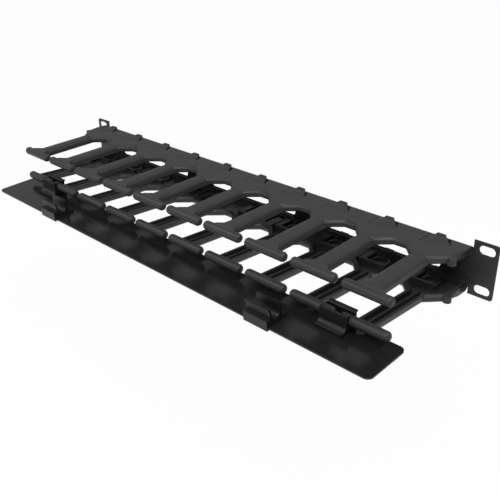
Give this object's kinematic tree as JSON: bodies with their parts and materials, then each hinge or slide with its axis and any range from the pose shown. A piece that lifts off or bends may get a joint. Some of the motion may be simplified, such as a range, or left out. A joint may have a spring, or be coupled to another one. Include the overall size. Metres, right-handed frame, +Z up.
{
  "type": "horizontal cable manager",
  "caption": "One-unit rack cable manager with two rows of T-ended fingers and a hinged flat cover, shown open.",
  "frame": {"origin": "centre of the steel panel's front face, midway between the four rack slots", "axes": "+X along the panel to the right, +Y towards the rear of the rack, +Z up"},
  "size_m": [0.4826, 0.1396, 0.0478],
  "materials": {
    "panel_steel": "fine powder coat",
    "module_plastic": "satin moulding",
    "cover_plastic": "smooth extruded sheet",
    "clip_plastic": "smooth moulding"
  },
  "bodies": {
    "manager": {"rack_panel": "panel_steel", "finger_module_upper_1": "module_plastic", "finger_module_upper_2": "module_plastic", "finger_module_upper_3": "module_plastic", "finger_module_upper_4": "module_plastic", "finger_module_upper_5": "module_plastic", "finger_module_lower_1": "module_plastic", "finger_module_lower_2": "module_plastic", "finger_module_lower_3": "module_plastic", "finger_module_lower_4": "module_plastic", "finger_module_lower_5": "module_plastic"},
    "cover": {"cover": "cover_plastic", "hinge_clip_left": "clip_plastic", "hinge_clip_right": "clip_plastic", "latch_clip_left": "clip_plastic", "latch_clip_right": "clip_plastic"}
  },
  "joints": [
    {"name": "cover_hinge", "type": "hinge", "parent": "manager", "child": "cover", "pos_m": [0, -0.1003, -0.013], "axis": [1, 0, 0], "range_deg": [-93.3, 20]}
  ]
}
